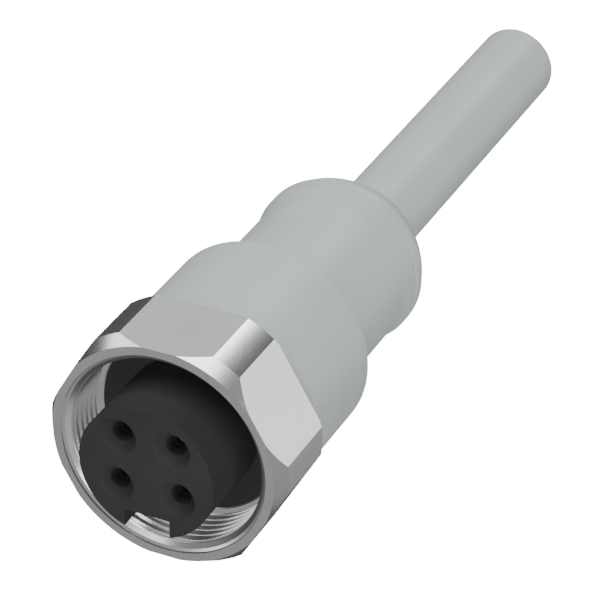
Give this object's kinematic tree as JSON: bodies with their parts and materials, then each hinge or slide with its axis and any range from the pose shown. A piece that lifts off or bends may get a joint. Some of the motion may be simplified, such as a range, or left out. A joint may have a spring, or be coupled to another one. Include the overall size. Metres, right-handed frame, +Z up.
{
  "type": "m12 connector",
  "caption": "Straight moulded cable socket: black keyed insert with round pin holes inside a free-turning hexagon coupling nut, grey grip and a short cable stub.",
  "frame": {"origin": "on the connector's axis, where the coupling thread begins inside the nut, 1 mm behind the nut's front face", "axes": "-Y is the mating direction out of the insert, +Y runs along the cable, +Z is up with the key notch at -Z; the connector lies on the bottom flat of its nut"},
  "size_m": [0.0152, 0.0554, 0.014],
  "materials": {
    "nickel_steel": "satin turned and nickel plated",
    "black_nylon": "fine matt moulded",
    "black_seal_rubber": "soft matt",
    "contact_gold": "turned, gold flashed",
    "solder": "dull solder",
    "bare_copper": "fine bare strands",
    "brown_insulation": "smooth extruded",
    "white_insulation": "smooth extruded",
    "blue_insulation": "smooth extruded",
    "black_insulation": "smooth extruded",
    "inner_mould_plastic": "plain moulded",
    "grey_jacket": "smooth extruded, soft semi-gloss",
    "grey_overmould": "smooth moulded, soft semi-gloss"
  },
  "bodies": {
    "connector": {"contact_insert": "black_nylon", "contact_carrier": "black_nylon", "face_seal": "black_seal_rubber", "socket_contact_1": "contact_gold", "socket_contact_2": "contact_gold", "socket_contact_3": "contact_gold", "socket_contact_4": "contact_gold", "solder_joint_1": "solder", "solder_joint_2": "solder", "solder_joint_3": "solder", "solder_joint_4": "solder", "copper_core_1": "bare_copper", "copper_core_2": "bare_copper", "copper_core_3": "bare_copper", "copper_core_4": "bare_copper", "insulation_brown": "brown_insulation", "insulation_white": "white_insulation", "insulation_blue": "blue_insulation", "insulation_black": "black_insulation", "inner_mould": "inner_mould_plastic", "cable_jacket": "grey_jacket", "grip": "grey_overmould"},
    "nut": {"coupling_nut": "nickel_steel"}
  },
  "joints": [
    {"name": "nut_spin", "type": "hinge", "parent": "connector", "child": "nut", "pos_m": [0, 0, 0], "axis": [0, -1, 0], "continuous": true}
  ]
}
